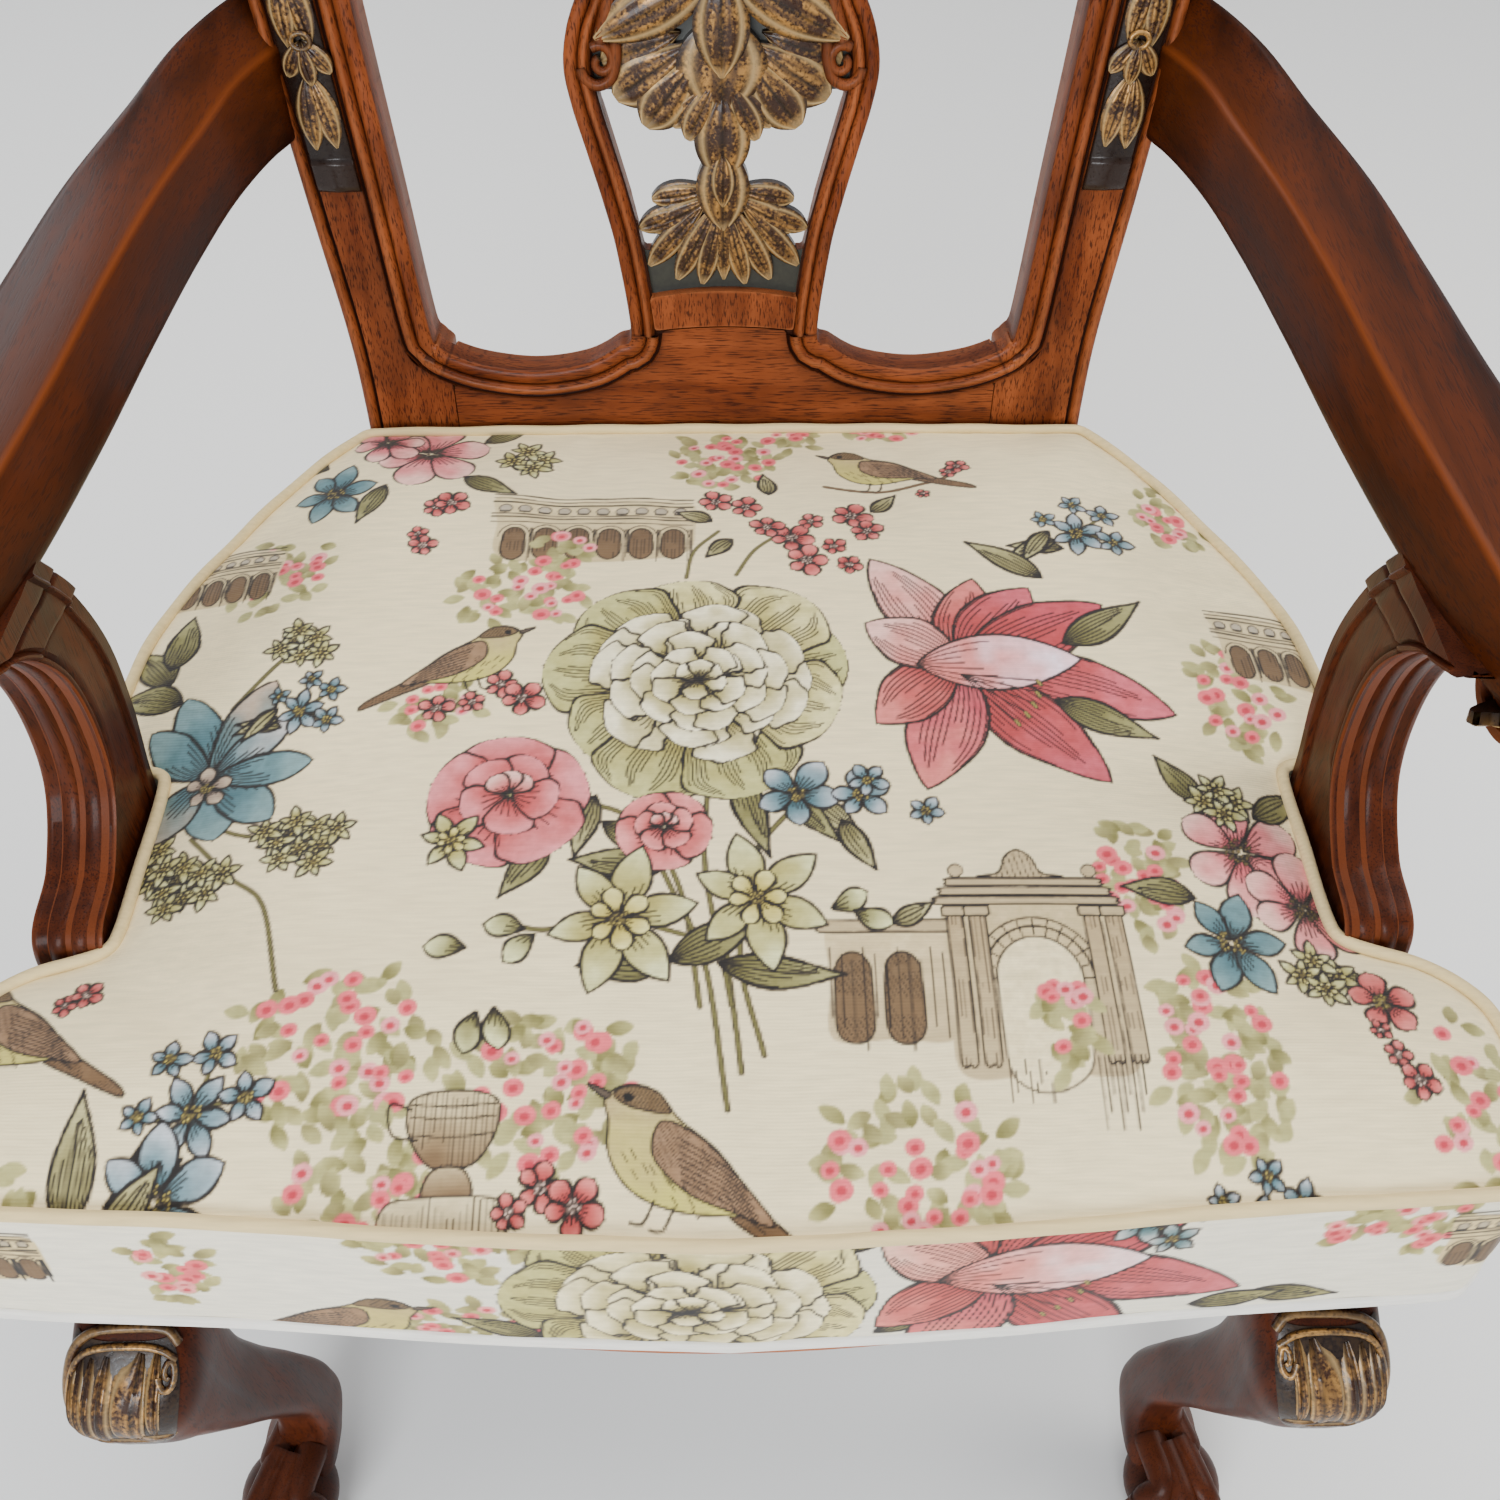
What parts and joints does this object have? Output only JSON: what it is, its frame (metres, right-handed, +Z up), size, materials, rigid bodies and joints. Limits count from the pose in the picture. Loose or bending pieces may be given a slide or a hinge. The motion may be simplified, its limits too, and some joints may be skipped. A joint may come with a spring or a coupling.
{
  "type": "armchair",
  "caption": "Open wooden armchair with carved cabriole front legs, a pierced vase splat, carved posts, scrolled arms and a deep padded T-shaped seat.",
  "frame": {"origin": "on the floor, under the middle of the chair's bounding box", "axes": "+Z up; the chair faces -Y, its back is towards +Y, and +X is the sitter's left"},
  "size_m": [0.7046, 0.6665, 1.0139],
  "materials": {
    "show_wood": "polished red-brown wood with dark grooves and rubbed edges",
    "frame_wood": "plain sawn hardwood",
    "dowel_wood": "plain beech dowel",
    "gilt_wood": "carved, dark ground with rubbed antique gilding",
    "screw_steel": "bright steel",
    "webbing": "woven jute",
    "hessian": "coarse woven",
    "padding": "soft foam and wadding",
    "printed_cloth": "ribbed cotton with a printed floral pattern",
    "piping": "cloth-covered cord",
    "gimp": "pale woven tape",
    "dust_cloth": "thin black non-woven cloth"
  },
  "bodies": {
    "root": {"left_front_leg": "show_wood", "right_front_leg": "show_wood", "left_back_post": "show_wood", "right_back_post": "show_wood", "left_arm": "show_wood", "right_arm": "show_wood", "left_arm_support": "show_wood", "right_arm_support": "show_wood", "splat": "show_wood", "crest_rail": "show_wood", "lower_back_rail": "show_wood", "rear_rail": "show_wood", "left_side_rail": "show_wood", "right_side_rail": "show_wood", "left_ear_block": "show_wood", "right_ear_block": "show_wood", "front_rail": "show_wood", "corner_blocks": "frame_wood", "arm_dowels": "dowel_wood", "left_husk_strip": "gilt_wood", "right_husk_strip": "gilt_wood", "corner_block_screws": "screw_steel", "arm_support_screws": "screw_steel", "webbing_crosswise": "webbing", "webbing_lengthwise": "webbing", "hessian": "hessian", "seat_foam": "padding", "seat_cover": "printed_cloth", "seat_welt": "piping", "seat_gimp": "gimp", "dust_cover": "dust_cloth"}
  },
  "joints": []
}
